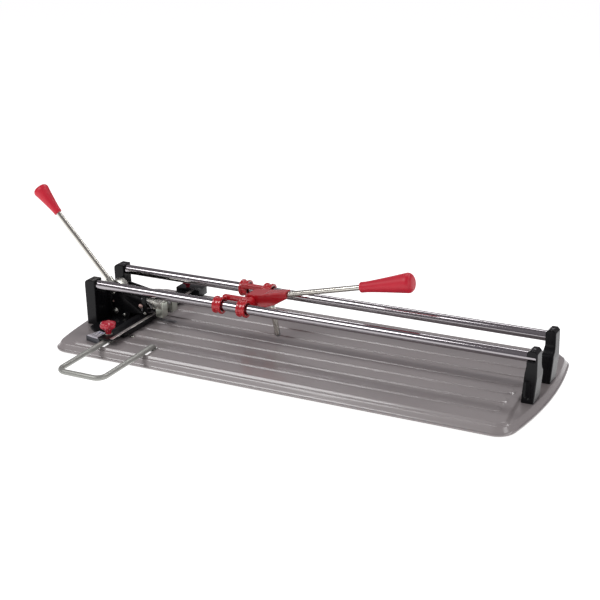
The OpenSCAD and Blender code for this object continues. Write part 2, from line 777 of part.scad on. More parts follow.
module scoring_wheel() {
  color(steel) translate([wheel_c[0], 0, wheel_c[1]]) rotate([90, 0, 0]) difference() {
    union() {
      translate([0, 0, -1.2]) cylinder(r = 4, h = 2.4);
      translate([0, 0, -0.8]) cylinder(r1 = wheel_d / 2 - 1.4, r2 = wheel_d / 2, h = 0.8);
      cylinder(r1 = wheel_d / 2, r2 = wheel_d / 2 - 1.4, h = 0.8);
    }
    translate([0, 0, -3]) cylinder(r = 1.5 + run_fit, h = 6);
  }
}

// Socket screw that clamps the shaft, from the rear
module shaft_screw() {
  shank = 12.1;
  color(zinc) translate([shaft_mid[0], rod_d / 2 + 0.05, shaft_mid[1]]) rotate([-90, 0, 0]) {
    cylinder(r = 3, h = shank);
    translate([0, 0, shank]) difference() {
      cylinder(r = 5.5, h = 4);
      translate([0, 0, 1.5]) cylinder(r = 2.5, h = 4, $fn = 6);
    }
  }
}

base_tray();
centre_spine();
spine_pad();
rubber_feet();
breaking_anvil();
deck_screw();
front_guide_rail();
rear_guide_rail();
front_tail_support();
rear_tail_support();
front_head_post();
rear_head_post();
mounting_screws();
rail_set_screws();
head_plate();
breaker_base();
front_side_wall();
rear_side_wall();
housing_bolts();
lever_pin();
spring_studs();
fence_pivot();
angle_sector();
angle_scale();
front_runner();
rear_runner();
runner_bushes();
barrel_screws();
pivot_pin();
lever_head();
lever_rod();
lever_grip();
scoring_shaft();
shaft_screw();
wheel_axle();
scoring_wheel();
lever_hub();
breaker_rod();
breaker_grip();
press_beam();
foot_yoke();
yoke_bolt();
press_pads();
pad_soles();
guide_pins();
beam_studs();
return_springs();
fence_bar();
fence_ruler();
fence_washer();
fence_knob();
side_stop();
stop_knob();
support_arm();
arm_clips();
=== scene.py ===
import json
import math
import bmesh
import bpy
from mathutils import Matrix, Vector

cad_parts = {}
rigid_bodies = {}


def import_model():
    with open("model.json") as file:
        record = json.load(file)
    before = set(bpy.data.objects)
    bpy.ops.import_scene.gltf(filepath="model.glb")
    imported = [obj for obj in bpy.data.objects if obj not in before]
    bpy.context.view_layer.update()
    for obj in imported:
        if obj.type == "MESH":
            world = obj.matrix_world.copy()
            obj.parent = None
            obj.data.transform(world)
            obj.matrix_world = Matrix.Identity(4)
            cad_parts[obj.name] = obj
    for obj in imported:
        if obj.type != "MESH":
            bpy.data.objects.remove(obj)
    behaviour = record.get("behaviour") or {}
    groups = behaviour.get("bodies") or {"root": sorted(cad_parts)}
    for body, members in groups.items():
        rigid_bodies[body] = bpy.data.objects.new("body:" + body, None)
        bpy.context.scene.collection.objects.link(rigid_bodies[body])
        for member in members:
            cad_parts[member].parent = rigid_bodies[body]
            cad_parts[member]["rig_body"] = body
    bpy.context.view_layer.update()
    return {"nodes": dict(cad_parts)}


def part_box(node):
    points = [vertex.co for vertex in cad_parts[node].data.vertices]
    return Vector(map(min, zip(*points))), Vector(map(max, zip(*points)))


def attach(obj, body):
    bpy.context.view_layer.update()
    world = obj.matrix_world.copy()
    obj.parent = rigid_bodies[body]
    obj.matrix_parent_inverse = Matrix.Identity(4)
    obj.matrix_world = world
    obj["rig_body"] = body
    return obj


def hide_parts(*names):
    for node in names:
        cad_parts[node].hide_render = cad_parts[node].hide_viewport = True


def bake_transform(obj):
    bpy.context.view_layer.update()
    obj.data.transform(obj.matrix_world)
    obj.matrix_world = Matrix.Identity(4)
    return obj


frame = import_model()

# Viewing position: the tool is seen from its right front corner, from a little above, with a long lens.
# The view leans by about one and a half degrees.
azimuth, elevation, lean = math.radians(28.0), math.radians(20.61), math.radians(-1.504)
ahead = Vector((-math.sin(azimuth) * math.cos(elevation), math.cos(azimuth) * math.cos(elevation),
                -math.sin(elevation)))
level = Vector((math.cos(azimuth), math.sin(azimuth), 0))
above = level.cross(ahead)
side = math.cos(lean) * level + math.sin(lean) * above
up = -math.sin(lean) * level + math.cos(lean) * above
eye = Vector((1.2522, -2.3706, 1.1401))
camera = bpy.data.objects.new("camera", bpy.data.cameras.new("camera"))
camera.data.lens = 79.77
camera.data.sensor_width = 36
camera.matrix_world = Matrix((
    (side.x, up.x, -ahead.x, eye.x), (side.y, up.y, -ahead.y, eye.y),
    (side.z, up.z, -ahead.z, eye.z), (0, 0, 0, 1)))
bpy.context.scene.collection.objects.link(camera)
bpy.context.scene.camera = camera

# Studio: a pale, faintly glowing floor that runs far behind the tool, a grey surround, and soft lights.
# The long strip over the rails gives the chrome its narrow bright line.
FLOOR_HALF = 30
floor_mesh = bpy.data.meshes.new("studio_floor")
floor_corners = [(FLOOR_HALF * x, FLOOR_HALF * y, 0) for x, y in ((-1, -1), (1, -1), (1, 1), (-1, 1))]
floor_mesh.from_pydata(floor_corners, [], [(0, 1, 2, 3)])
floor_paint = bpy.data.materials.new("studio_floor")
floor_paint.use_nodes = True
floor_shader = floor_paint.node_tree.nodes["Principled BSDF"]
floor_shader.inputs["Base Color"].default_value = (0.6, 0.6, 0.6, 1)
floor_shader.inputs["Roughness"].default_value = 0.8
floor_shader.inputs["Emission Color"].default_value = (1, 1, 1, 1)
floor_shader.inputs["Emission Strength"].default_value = 0.82
floor_mesh.materials.append(floor_paint)
floor = bpy.data.objects.new("studio_floor", floor_mesh)
bpy.context.scene.collection.objects.link(floor)

surround = bpy.data.worlds.new("studio")
surround.use_nodes = True
backdrop = surround.node_tree.nodes["Background"]
backdrop.inputs["Color"].default_value = (0.27, 0.255, 0.27, 1)
backdrop.inputs["Strength"].default_value = 1.0
bpy.context.scene.view_settings.view_transform = "Standard"
bpy.context.scene.world = surround


def soft_light(name, place, target, size, power):
    lamp = bpy.data.lights.new(name, "AREA")
    lamp.shape = "RECTANGLE"
    lamp.size, lamp.size_y = size
    lamp.energy = power
    stand = bpy.data.objects.new(name, lamp)
    stand.location = place
    stand.rotation_euler = (Vector(target) - Vector(place)).to_track_quat("-Z", "Y").to_euler()
    bpy.context.scene.collection.objects.link(stand)


soft_light("key_light", (-1.6, -1.8, 2.6), (0, 0, 0.05), (1.6, 1.2), 46)
soft_light("rail_strip", (0.2, 1.4, 2.0), (0, 0, 0.1), (3.0, 0.3), 20)
soft_light("fill_light", (2.8, -0.6, 1.4), (0.2, 0, 0.05), (1.2, 1.2), 14)

# Base tray: one steel sheet pressed with seven ribs, a raised middle and a rolled rim, and enamelled grey.
# The sheet is 1.6 mm thick, and drawn here as 1.4 mm. Two slots at its front take the support arm.
MM = 0.001
SHARP_ANGLE = math.radians(38)
MERGE_DISTANCE = 1e-6
GLOSSIEST, DULLEST = 0.85, 1.2  # shares of the roughness
WEAR_STARTS, WEAR_FULL = 0.52, 0.62  # how sharp an edge is where wear begins, and where it is whole
WORN_GAIN, WORN_LIFT = 1.6, 0.04
COAT_ROUGHNESS = 0.08
GRAIN_DEPTH = 0.0004


def finish(name, colour, roughness, metallic=0.0, patch=0.06, patch_scale=18, grain=0.0, grain_scale=900,
           coat=0.0, stretch=(1, 1, 1), wear=0.0, specular=0.5):
    """A surface with cloudy colour and gloss, fine grain in its relief, and lighter worn edges."""
    made = bpy.data.materials.new(name)
    made.use_nodes = True
    tree = made.node_tree
    shader = tree.nodes["Principled BSDF"]
    shader.inputs["Metallic"].default_value = metallic
    shader.inputs["Coat Weight"].default_value = coat
    shader.inputs["Specular IOR Level"].default_value = specular
    shader.inputs["Coat Roughness"].default_value = COAT_ROUGHNESS
    place = tree.nodes.new("ShaderNodeTexCoord")
    mapping = tree.nodes.new("ShaderNodeMapping")
    mapping.inputs["Scale"].default_value = stretch
    tree.links.new(place.outputs["Object"], mapping.inputs["Vector"])
    clouds = tree.nodes.new("ShaderNodeTexNoise")
    clouds.inputs["Scale"].default_value = patch_scale
    clouds.inputs["Detail"].default_value = 5
    tree.links.new(mapping.outputs["Vector"], clouds.inputs["Vector"])
    tones = tree.nodes.new("ShaderNodeMix")
    tones.data_type = "RGBA"
    tones.inputs["A"].default_value = [c * (1 - patch) for c in colour] + [1]
    tones.inputs["B"].default_value = [min(1, c * (1 + patch)) for c in colour] + [1]
    tree.links.new(clouds.outputs["Fac"], tones.inputs["Factor"])
    result = tones.outputs["Result"]
    if wear:
        shape = tree.nodes.new("ShaderNodeNewGeometry")
        ridge = tree.nodes.new("ShaderNodeMapRange")
        ridge.inputs["From Min"].default_value = WEAR_STARTS
        ridge.inputs["From Max"].default_value = WEAR_FULL
        ridge.inputs["To Max"].default_value = wear
        tree.links.new(shape.outputs["Pointiness"], ridge.inputs["Value"])
        edge = tree.nodes.new("ShaderNodeMix")
        edge.data_type = "RGBA"
        worn = [min(1, c * WORN_GAIN + WORN_LIFT) for c in colour]
        edge.inputs["B"].default_value = worn + [1]
        tree.links.new(ridge.outputs["Result"], edge.inputs["Factor"])
        tree.links.new(result, edge.inputs["A"])
        result = edge.outputs["Result"]
    tree.links.new(result, shader.inputs["Base Color"])
    gloss = tree.nodes.new("ShaderNodeMapRange")
    gloss.inputs["To Min"].default_value = roughness * GLOSSIEST
    gloss.inputs["To Max"].default_value = min(1, roughness * DULLEST)
    tree.links.new(clouds.outputs["Fac"], gloss.inputs["Value"])
    tree.links.new(gloss.outputs["Result"], shader.inputs["Roughness"])
    if grain:
        fine = tree.nodes.new("ShaderNodeTexNoise")
        fine.inputs["Scale"].default_value = grain_scale
        fine.inputs["Detail"].default_value = 3
        tree.links.new(mapping.outputs["Vector"], fine.inputs["Vector"])
        relief = tree.nodes.new("ShaderNodeBump")
        relief.inputs["Strength"].default_value = grain
        relief.inputs["Distance"].default_value = GRAIN_DEPTH
        tree.links.new(fine.outputs["Fac"], relief.inputs["Height"])
        tree.links.new(relief.outputs["Normal"], shader.inputs["Normal"])
    return made


def place_piece(name, mesh, material, body, stands_for=()):
    """Links a finished mesh as a piece of one body, in the place of the named CAD nodes."""
    mesh.materials.clear()
    mesh.materials.append(material)
    for face in mesh.polygons:
        face.use_smooth = True
    mesh.set_sharp_from_angle(angle=SHARP_ANGLE)
    piece = bpy.data.objects.new(name, mesh)
    bpy.context.scene.collection.objects.link(piece)
    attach(piece, body)
    if stands_for:
        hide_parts(*stands_for)


def settle(piece):
    """Turns a piece with modifiers into a plain mesh."""
    bpy.context.view_layer.update()
    ready = piece.evaluated_get(bpy.context.evaluated_depsgraph_get())
    mesh = bpy.data.meshes.new_from_object(ready)
    bpy.data.objects.remove(piece)
    return mesh


tray_grey = finish("tray_enamel", (0.285, 0.258, 0.256), 0.3, patch=0.05, patch_scale=9, grain=0.03,
                   grain_scale=500, coat=0.6)
TRAY_RIGHT, TRAY_LEFT, TRAY_HALF, END_RADIUS = 557, 552, 205, 912
CORNER_RADIUS, SHEET = 34, 1.4
DECK_INSET, DECK_Z = 12, 19
PLATEAU_RISE, PLATEAU_SLOPE, PLATEAU_CORNER = 5, 6, 14
PLATEAU_LEFT, PLATEAU_RIGHT, PLATEAU_SIDE, PLATEAU_BOW = 490, 513, 192, 0.00045
RIBS, RIB_PITCH = range(-3, 4), 44
RIB_RISE, RIB_SLOPE, RIB_HALF = 2.5, 2.1, 14
RIB_MIDDLE, RIB_REACH = 10.5, 472.5
ARM_SLOTS, SLOT_HALF, SLOT_FRONT, SLOT_REAR = (-408, -296), 6.75, -184.6, -139.5


def tray_corner(reach):
    """Centre and radius of a round corner of the deck's edge, for the end at that reach."""
    end = END_RADIUS - DECK_INSET
    half = TRAY_HALF - DECK_INSET
    corner = CORNER_RADIUS - DECK_INSET / 2
    run = math.sqrt((end - corner) ** 2 - (half - corner) ** 2)
    return run - END_RADIUS + reach, half - corner, corner


def deck_end(reach, y):
    """Distance from the middle to the deck's edge along X, at y."""
    centre, start, corner = tray_corner(reach)
    end = math.sqrt((END_RADIUS - DECK_INSET) ** 2 - y * y) - END_RADIUS + reach
    if abs(y) > start:
        end = min(end, centre + math.sqrt(max(0, corner ** 2 - (abs(y) - start) ** 2)))
    return end


def rise(distance, width):
    """Smooth step from 0 to 1 over a width."""
    t = max(0.0, min(1.0, distance / width))
    return t * t * (3 - 2 * t)


def deck_height(x, y):
    """Height of the sheet's top face: the deck, its raised middle and its ribs."""
    reach, out = (TRAY_RIGHT, x) if x > 0 else (TRAY_LEFT, -x)
    to_edge = min(TRAY_HALF - DECK_INSET - abs(y),
                  END_RADIUS - DECK_INSET - math.hypot(out - reach + END_RADIUS, y))
    centre, start, corner = tray_corner(reach)
    if out > centre and abs(y) > start:
        to_edge = min(to_edge, corner - math.hypot(out - centre, abs(y) - start))
    to_side = PLATEAU_SIDE - abs(y)
    to_end = min(x + PLATEAU_LEFT, PLATEAU_RIGHT + PLATEAU_BOW * y * y - x)
    inside = PLATEAU_CORNER - math.hypot(max(PLATEAU_CORNER - to_end, 0),
                                         max(PLATEAU_CORNER - to_side, 0))
    height = DECK_Z + PLATEAU_RISE * rise(min(inside, to_edge), PLATEAU_SLOPE)
    for rib in RIBS:
        from_rib = math.hypot(max(abs(x - RIB_MIDDLE) - RIB_REACH, 0), y - RIB_PITCH * rib)
        height += RIB_RISE * rise(RIB_HALF - from_rib, RIB_SLOPE)
    return height


def spread(low, high, count):
    """Evenly spaced values from low to high."""
    return [low + (high - low) * i / (count - 1) for i in range(count)]


# The sheet's grid is finest on the ribs' slopes, at their round ends and round the tray's corners.
RIB_ROWS = (0, 6, 11, 11.9, 12.4, 12.9, 13.4, 13.9, 14.5, 22)
CORNER_ROWS = (0, 12, 24, 34, 42, 50, 57, 64, 70, 76, 82, 87, 90)
deck_rows = {0.0, SLOT_FRONT, SLOT_REAR}
for rib in RIBS:
    for step in RIB_ROWS:
        deck_rows |= {RIB_PITCH * rib + step, RIB_PITCH * rib - step}
corner_start, corner_size = tray_corner(TRAY_RIGHT)[1:]
deck_rows |= {s * (corner_start + corner_size * math.sin(math.radians(a)))
              for s in (-1, 1) for a in CORNER_ROWS}
deck_rows = sorted(round(y, 3) for y in deck_rows)
deck_columns = sorted(set(
    spread(-484, -460, 13) + spread(-455, 478, 40) + spread(480, 498, 10)
    + [x + s * SLOT_HALF for x in ARM_SLOTS for s in (-1, 1)]))
END_STEPS = 14
grid = []
for y in deck_rows:
    left, right = -deck_end(TRAY_LEFT, y), deck_end(TRAY_RIGHT, y)
    row = [left + (deck_columns[0] - left) * i / END_STEPS for i in range(END_STEPS)]
    row += deck_columns
    row += [deck_columns[-1] + (right - deck_columns[-1]) * (i + 1) / END_STEPS
            for i in range(END_STEPS)]
    grid.append([(x, y, deck_height(x, y)) for x in row])
width, depth = len(grid[0]), len(grid)
tray_points = [point for row in grid for point in row]
tray_faces = []
for j in range(depth - 1):
    for i in range(width - 1):
        corners = [j * width + i, j * width + i + 1, (j + 1) * width + i + 1, (j + 1) * width + i]
        mid_x = sum(tray_points[c][0] for c in corners) / 4
        mid_y = sum(tray_points[c][1] for c in corners) / 4
        in_slot = any(abs(mid_x - x) < SLOT_HALF for x in ARM_SLOTS) and SLOT_FRONT < mid_y < SLOT_REAR
        if not in_slot:
            tray_faces.append(corners)
edge_loop = list(range(width)) + [j * width + width - 1 for j in range(1, depth)]
edge_loop += [(depth - 1) * width + i for i in range(width - 2, -1, -1)]
edge_loop += [j * width for j in range(depth - 2, 0, -1)]
# The skirt and the rolled rim, as (distance outwards, height) from the deck's edge
skirt = [(0.9, 18.7), (1.8, 18.0), (2.7, 16.8), (5.0, 13.4), (7.4, 9.9), (9.0, 7.6), (9.9, 6.9),
         (10.8, 6.8), (11.5, 6.3), (11.95, 5.2), (11.95, 3.6), (11.5, 2.5), (10.8, 2.0)]
edge = [Vector(tray_points[k][:2]) for k in edge_loop]
outward = []
for k in range(len(edge)):
    along = edge[(k + 1) % len(edge)] - edge[k - 1]
    outward.append(Vector((along.y, -along.x)).normalized())
lower = edge_loop
for offset, z in skirt:
    ring = []
    for k in range(len(edge)):
        ring.append(len(tray_points))
        spot = edge[k] + outward[k] * offset
        tray_points.append((spot.x, spot.y, z))
    for k in range(len(edge)):
        n = (k + 1) % len(edge)
        tray_faces.append((lower[n], lower[k], ring[k], ring[n]))
    lower = ring
tray_mesh = bpy.data.meshes.new("pressed_tray")
tray_mesh.from_pydata([Vector(p) * MM for p in tray_points], [], tray_faces)
tray = bpy.data.objects.new("pressed_tray", tray_mesh)
bpy.context.scene.collection.objects.link(tray)
wall = tray.modifiers.new("sheet", "SOLIDIFY")
wall.thickness = SHEET * MM
wall.offset = -1
place_piece("pressed_tray", settle(tray), tray_grey, "base", ["base_tray"])

# Spine, its rubber strip and the feet, all under the sheet. The spine is folded from bare steel sheet and
# spot-welded to the tray; the rubber parts are moulded and pushed in.
bare_steel = finish("bare_steel", (0.36, 0.36, 0.37), 0.36, metallic=1, patch=0.12, patch_scale=40,
                    grain=0.08, stretch=(1, 6, 6))
black_rubber = finish("black_rubber", (0.018, 0.018, 0.018), 0.62, patch=0.15, grain=0.25,
                      grain_scale=1500)


def coat_node(name, material):
    """Gives a carried-over CAD node its finish."""
    node = frame["nodes"][name]
    if not node.material_slots:
        node.data.materials.append(material)
    for slot in node.material_slots:
        slot.material = material


coat_node("centre_spine", bare_steel)
coat_node("spine_pad", black_rubber)
coat_node("rubber_feet", black_rubber)

# Guide rails: ground steel bars with hard chrome and chamfered ends. Each is held at the left in a blind
# hole of a head post, and at the right in the cap of a tail support.
rail_chrome = finish("rail_chrome", (0.37, 0.35, 0.365), 0.1, metallic=1, patch=0.03, patch_scale=30,
                     stretch=(0.15, 1, 1))


def turned(name, outline, start, direction, material, body, stands_for=(), segments=56):
    """A part turned on a lathe. outline is (distance along, radius) in mm; radius 0 closes an end."""
    axis = Vector(direction).normalized()
    first = axis.orthogonal().normalized()
    second = axis.cross(first)
    shape = bmesh.new()
    rings = []
    for along, radius in outline:
        base = Vector(start) + axis * along
        if radius < 1e-6:
            rings.append([shape.verts.new(base * MM)])
            continue
        turns = [2 * math.pi * k / segments for k in range(segments)]
        rings.append([
            shape.verts.new((base + radius * (math.cos(t) * first + math.sin(t) * second)) * MM)
            for t in turns])
    for near, far in zip(rings, rings[1:]):
        for k in range(segments):
            n = (k + 1) % segments
            if len(near) == 1:
                shape.faces.new((near[0], far[n], far[k]))
            elif len(far) == 1:
                shape.faces.new((near[k], near[n], far[0]))
            else:
                shape.faces.new((near[k], near[n], far[n], far[k]))
    bmesh.ops.recalc_face_normals(shape, faces=shape.faces)
    mesh = bpy.data.meshes.new(name)
    shape.to_mesh(mesh)
    shape.free()
    place_piece(name, mesh, material, body, stands_for)


RAIL_CHAMFER = 1.2
for place in ("front", "rear"):
    low, high = (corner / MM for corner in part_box(place + "_guide_rail"))
    reach, middle = high.x - low.x, (low + high) / 2
    radius = (high.z - low.z) / 2
    tip = [(0, radius - RAIL_CHAMFER), (0.3, radius - 0.8), (RAIL_CHAMFER, radius)]
    far_tip = [(reach - along, width) for along, width in reversed(tip)]
    turned(place + "_ground_rail", [(0, 0), *tip, *far_tip, (reach, 0)],
           (low.x, middle.y, middle.z), (1, 0, 0), rail_chrome, "base",
           [place + "_guide_rail"], segments=96)

# Head posts and tail supports: aluminium castings in satin black, with soft edges from the mould.
# Screws come up through the tray into their feet, and a set screw in each cap holds the rail.
black_casting = finish("black_casting", (0.005, 0.005, 0.006), 0.24, patch=0.2, patch_scale=60, grain=0.1,
                       grain_scale=1400, wear=0.12, specular=0.2)


def merged_copy(node, name, flatten=False):
    """A copy of a CAD node with its loose triangles joined, and its flat faces made whole if asked."""
    copy = bpy.data.objects.new(name, frame["nodes"][node].data.copy())
    bpy.context.scene.collection.objects.link(copy)
    shape = bmesh.new()
    shape.from_mesh(copy.data)
    bmesh.ops.remove_doubles(shape, verts=shape.verts, dist=MERGE_DISTANCE)
    if flatten:
        bmesh.ops.dissolve_limit(shape, angle_limit=math.radians(1), verts=shape.verts,
                                 edges=shape.edges)
    shape.to_mesh(copy.data)
    shape.free()
    return copy


def stand_in(copy, node, material):
    """Puts a reworked copy in its CAD node's place, on the node's own body."""
    name = copy.name
    place_piece(name, settle(copy), material, frame["nodes"][node]["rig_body"], [node])


def cast(node, material, cell=1.1, rounds=5):
    """Softens the edges of a CAD node's shape as a casting has them, and puts it in the node's place."""
    copy = merged_copy(node, node + "_cast")
    skin = copy.modifiers.new("skin", "REMESH")
    skin.mode = "VOXEL"
    skin.voxel_size = cell * MM
    soft = copy.modifiers.new("soft_edges", "SMOOTH")
    soft.factor = 0.5
    soft.iterations = rounds
    stand_in(copy, node, material)


for node in ("front_head_post", "rear_head_post", "front_tail_support", "rear_tail_support"):
    cast(node, black_casting)

# Screws of the base, cold-formed in bright zinc or plain steel, and the breaking ridge, a bar of steel.
# The deck screw and the ridge have their corners broken by a fraction of a millimetre.
bright_zinc = finish("bright_zinc", (0.56, 0.56, 0.51), 0.27, metallic=1, patch=0.12, patch_scale=90,
                     grain=0.05)


def machined(node, material, edge=0.5, steps=2):
    """Breaks the corners of a CAD node's shape, and puts it in the node's place."""
    copy = merged_copy(node, node + "_made", flatten=True)
    broken = copy.modifiers.new("broken_edges", "BEVEL")
    broken.width = edge * MM
    broken.segments = steps
    broken.limit_method = "ANGLE"
    broken.angle_limit = math.radians(32)
    stand_in(copy, node, material)


for node in ("mounting_screws", "rail_set_screws"):
    coat_node(node, bare_steel)
machined("deck_screw", bright_zinc, 0.4)
machined("breaking_anvil", bare_steel, 0.4)

# Breaker housing: two black steel plates on a base plate, with a cross plate between the head posts.
# Cross bolts with washers hold the plates apart, and the lever turns on a pin through them.
black_plate = finish("black_plate", (0.005, 0.005, 0.006), 0.24, patch=0.2, patch_scale=30, grain=0.08,
                     grain_scale=1200, wear=0.12, specular=0.2)
for node in ("front_side_wall", "rear_side_wall", "head_plate", "breaker_base"):
    machined(node, black_plate, 0.7)
machined("housing_bolts", bright_zinc, 0.5)
machined("lever_pin", bright_zinc, 0.6)
coat_node("spring_studs", bare_steel)

# Breaker lever: a zinc-plated cam hub with a welded socket, a bright rod, and a soft red grip pushed on
# to the rod's end. The grip is a plain cone that widens from a short neck to a blunt end.
nickel_rod = finish("nickel_rod", (0.60, 0.585, 0.53), 0.2, metallic=1, patch=0.08, patch_scale=50,
                    grain=0.04)
red_grip = finish("red_grip", (0.60, 0.010, 0.032), 0.42, patch=0.07, patch_scale=25, grain=0.1,
                  grain_scale=1600)


CONE_STEPS, CONE_CURVE, BLUNT_STEPS = 16, 1.15, 12


def grip_outline(length, neck, belly):
    """Outline of a moulded grip: a mouth round the rod, a cone that widens to the belly, a blunt end."""
    blunt = belly * 0.28
    neck_end, swell = length * 0.1, length - blunt
    points = [(4, 0), (4, 6.2), (0, 6.5), (0, neck / 2 - 1.2), (0.5, neck / 2 - 0.4), (1.6, neck / 2),
              (neck_end, neck / 2)]
    for i in range(1, CONE_STEPS + 1):
        points.append((neck_end + (swell - neck_end) * i / CONE_STEPS,
                       neck / 2 + (belly - neck) / 2 * (i / CONE_STEPS) ** CONE_CURVE))
    for i in range(1, BLUNT_STEPS + 1):
        turn = math.pi / 2 * i / BLUNT_STEPS
        points.append((swell + blunt * math.sin(turn), belly / 2 - blunt + blunt * math.cos(turn)))
    return points + [(length + 0.3, 0)]


machined("lever_hub", bright_zinc, 0.8, 3)
ROD_RADIUS = 6
breaker_slope = math.radians(131.5)
breaker_way = Vector((math.cos(breaker_slope), 0, math.sin(breaker_slope)))
breaker_socket = Vector((-508, 0, 102))
breaker_grip_start = 200
turned("breaker_lever_rod",
       [(-12.9, 0), (-12.9, 5.6), (-12.4, ROD_RADIUS), (244.4, ROD_RADIUS), (245, 5.4), (245, 0)],
       breaker_socket, breaker_way, nickel_rod, "breaker_lever", ["breaker_rod"], segments=40)
turned("breaker_lever_grip", grip_outline(length=76, neck=19, belly=37),
       breaker_socket + breaker_way * breaker_grip_start, breaker_way, red_grip, "breaker_lever",
       ["breaker_grip"], segments=64)

# Press foot: a milled beam guided by two pins in the plates' slots, a cast yoke in front of it, and two
# pale zinc pads with rubber soles that bear on the tile.
pad_zinc = finish("pad_zinc", (0.57, 0.60, 0.53), 0.3, metallic=0.9, patch=0.16, patch_scale=70,
                  grain=0.12)
pin_zinc = finish("pin_zinc", (0.62, 0.42, 0.38), 0.3, metallic=1, patch=0.1, patch_scale=80, grain=0.04)
machined("press_beam", bright_zinc, 0.6)
machined("foot_yoke", bright_zinc, 1.6, 4)
machined("press_pads", pad_zinc, 1.0, 3)
machined("pad_soles", black_rubber, 0.6)
machined("guide_pins", pin_zinc, 0.8, 3)
machined("yoke_bolt", bare_steel, 0.5)
coat_node("beam_studs", bare_steel)

# Return springs: tension coils of spring wire, one on each side of the beam. They lift the foot when the
# lever is let go. Both are wound by one tree of nodes.
spring_wire = finish("spring_wire", (0.45, 0.45, 0.46), 0.25, metallic=1, patch=0.1, patch_scale=120,
                     grain=0.05)


def empty_tree(name, sockets):
    """A tree of nodes with named inputs: the tree, the inputs' identifiers, and its two end nodes."""
    tree = bpy.data.node_groups.new(name, "GeometryNodeTree")
    inputs = {}
    for label, kind in sockets:
        socket = tree.interface.new_socket(label, in_out="INPUT", socket_type="NodeSocket" + kind)
        inputs[label] = socket.identifier
    tree.interface.new_socket("Geometry", in_out="OUTPUT", socket_type="NodeSocketGeometry")
    return tree, inputs, tree.nodes.new("NodeGroupInput"), tree.nodes.new("NodeGroupOutput")


def join(tree, *links):
    """Links nodes in a tree, each link given as node, output, node, input."""
    for source, output, target, entry in links:
        tree.links.new(source.outputs[output], target.inputs[entry])


coil_tree, coil_inputs, coil_in, coil_out = empty_tree("wound_coil", (
    ("Turns", "Float"), ("Coil radius", "Float"), ("Wire radius", "Float"), ("Length", "Float"),
    ("Place", "Vector"), ("Turn", "Vector"), ("Wire", "Material")))
spiral = coil_tree.nodes.new("GeometryNodeCurveSpiral")
spiral.inputs["Resolution"].default_value = 14
section = coil_tree.nodes.new("GeometryNodeCurvePrimitiveCircle")
section.inputs["Resolution"].default_value = 8
sweep = coil_tree.nodes.new("GeometryNodeCurveToMesh")
sweep.inputs["Fill Caps"].default_value = True
lay = coil_tree.nodes.new("GeometryNodeTransform")
realize = coil_tree.nodes.new("GeometryNodeRealizeInstances")
coat = coil_tree.nodes.new("GeometryNodeSetMaterial")
join(coil_tree,
     (coil_in, "Turns", spiral, "Rotations"), (coil_in, "Coil radius", spiral, "Start Radius"),
     (coil_in, "Coil radius", spiral, "End Radius"), (coil_in, "Length", spiral, "Height"),
     (coil_in, "Wire radius", section, "Radius"), (spiral, "Curve", sweep, "Curve"),
     (section, "Curve", sweep, "Profile Curve"), (sweep, "Mesh", lay, "Geometry"),
     (coil_in, "Place", lay, "Translation"), (coil_in, "Turn", lay, "Rotation"),
     (lay, "Geometry", realize, "Geometry"), (realize, "Geometry", coat, "Geometry"),
     (coil_in, "Wire", coat, "Material"), (coat, "Geometry", coil_out, "Geometry"))


def grown(name, tree, values):
    """The plain mesh that a tree of nodes makes from its named inputs."""
    holder = bpy.data.objects.new(name, bpy.data.meshes.new(name))
    bpy.context.scene.collection.objects.link(holder)
    maker = holder.modifiers.new("maker", "NODES")
    maker.node_group = tree
    for identifier, value in values.items():
        maker[identifier] = value
    return settle(holder)


spring_top, spring_low = Vector((-405, 0, 82)), Vector((-384, 0, 61))
spring_run = spring_low - spring_top
spring_turn = (0, math.atan2(spring_run.x, spring_run.z), 0)
SPRING_Y, HOOK, SPRING_TURNS, COIL_RADIUS, WIRE_RADIUS = 17.2, 2.8, 14.0, 2.05, 0.55
for place, y in (("front", -SPRING_Y), ("rear", SPRING_Y)):
    start = spring_top + spring_run.normalized() * HOOK + Vector((0, y, 0))
    coil = grown(place + "_return_spring", coil_tree, {
        coil_inputs["Turns"]: SPRING_TURNS, coil_inputs["Coil radius"]: COIL_RADIUS * MM,
        coil_inputs["Wire radius"]: WIRE_RADIUS * MM, coil_inputs["Place"]: start * MM,
        coil_inputs["Length"]: (spring_run.length - 2 * HOOK) * MM, coil_inputs["Turn"]: spring_turn,
        coil_inputs["Wire"]: spring_wire})
    coil.materials.clear()
    coil.materials.append(spring_wire)
    for face in coil.polygons:
        face.use_smooth = True
    spring = bpy.data.objects.new(place + "_return_spring", coil)
    bpy.context.scene.collection.objects.link(spring)
    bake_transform(spring)
    if place == "front":
        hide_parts("return_springs")

# Fence: a black extruded bar that swivels on a pivot screw, with a printed metal ruler let into its edge.
# The ruler's marks are 5 mm apart, with a long one every 50 mm.
fence_black = finish("fence_black", (0.006, 0.006, 0.007), 0.26, patch=0.2, patch_scale=40, grain=0.08,
                     stretch=(1, 0.1, 1), wear=0.15, specular=0.2)
ruler_silver = finish("ruler_silver", (0.62, 0.585, 0.56), 0.34, metallic=0.85, patch=0.06, patch_scale=60,
                      grain=0.06, stretch=(1, 0.1, 1))
mark_black = finish("mark_black", (0.02, 0.02, 0.022), 0.5, patch=0.1)
machined("fence_bar", fence_black, 0.8, 3)
machined("fence_ruler", ruler_silver, 0.3)
machined("fence_washer", bright_zinc, 0.3)
machined("fence_pivot", bare_steel, 0.6)
mark_tree, mark_inputs, mark_in, mark_out = empty_tree("ruler_marks", (
    ("Count", "Int"), ("Start", "Vector"), ("Pitch", "Vector"), ("Mark size", "Vector"),
    ("Ink", "Material")))
row_line = mark_tree.nodes.new("GeometryNodeMeshLine")
mark_block = mark_tree.nodes.new("GeometryNodeMeshCube")
mark_copies = mark_tree.nodes.new("GeometryNodeInstanceOnPoints")
